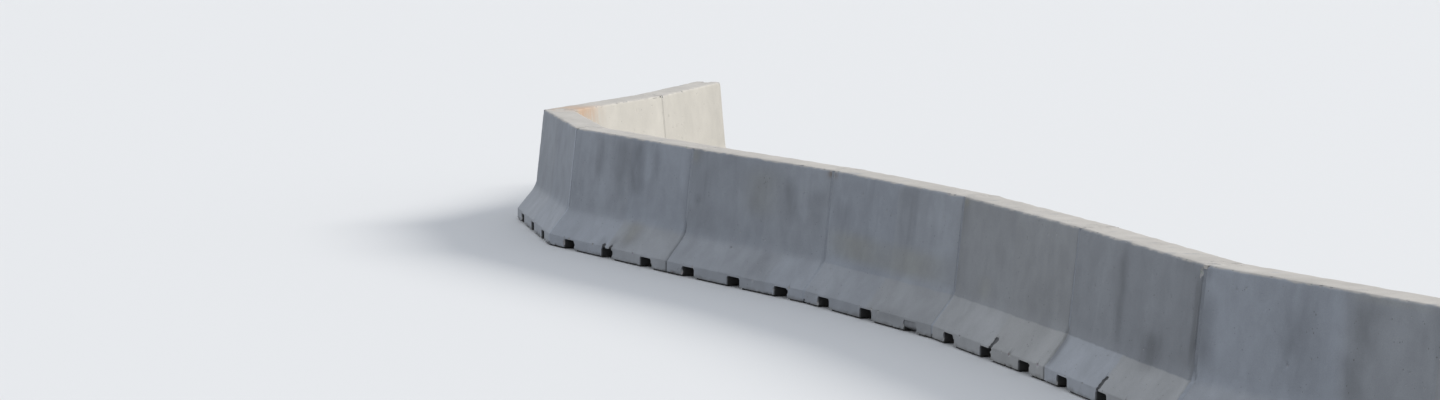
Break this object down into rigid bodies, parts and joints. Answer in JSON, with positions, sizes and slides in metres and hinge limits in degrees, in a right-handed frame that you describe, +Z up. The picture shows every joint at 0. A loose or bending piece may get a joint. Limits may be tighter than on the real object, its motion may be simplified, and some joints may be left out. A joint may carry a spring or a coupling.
{
  "type": "concrete highway barrier row",
  "caption": "Curving row of precast concrete safety barrier units with sloped faces, slots through the foot, rubber bearing strips, tie bars and steel keys at the joints.",
  "frame": {"origin": "middle of the row's bounding box, at ground level", "axes": "+X along the straight line between the end joints of the long arm, +Z up, traffic side towards -Y"},
  "size_m": [17.3842, 3.144, 0.81],
  "materials": {
    "concrete": "weathered precast concrete, matt",
    "key_steel": "galvanised steel, rust-stained",
    "bar_steel": "plain steel with light rust",
    "strip_rubber": "black, dusty"
  },
  "bodies": {
    "root": {"barrier_unit_1": "concrete", "barrier_unit_2": "concrete", "barrier_unit_3": "concrete", "barrier_unit_4": "concrete", "barrier_unit_5": "concrete", "barrier_unit_6": "concrete", "barrier_unit_7": "concrete", "barrier_unit_8": "concrete", "barrier_unit_9": "concrete", "bearing_strips_1": "strip_rubber", "bearing_strips_2": "strip_rubber", "bearing_strips_3": "strip_rubber", "bearing_strips_4": "strip_rubber", "bearing_strips_5": "strip_rubber", "bearing_strips_6": "strip_rubber", "bearing_strips_7": "strip_rubber", "bearing_strips_8": "strip_rubber", "bearing_strips_9": "strip_rubber", "joint_key_1": "key_steel", "joint_key_2": "key_steel", "joint_key_3": "key_steel", "joint_key_4": "key_steel", "joint_key_5": "key_steel", "joint_key_6": "key_steel", "joint_key_7": "key_steel", "joint_key_8": "key_steel", "tie_bar_1": "bar_steel", "tie_bar_2": "bar_steel", "tie_bar_3": "bar_steel", "tie_bar_4": "bar_steel", "tie_bar_5": "bar_steel", "tie_bar_6": "bar_steel", "tie_bar_7": "bar_steel", "tie_bar_8": "bar_steel", "tie_bar_9": "bar_steel"}
  },
  "joints": []
}
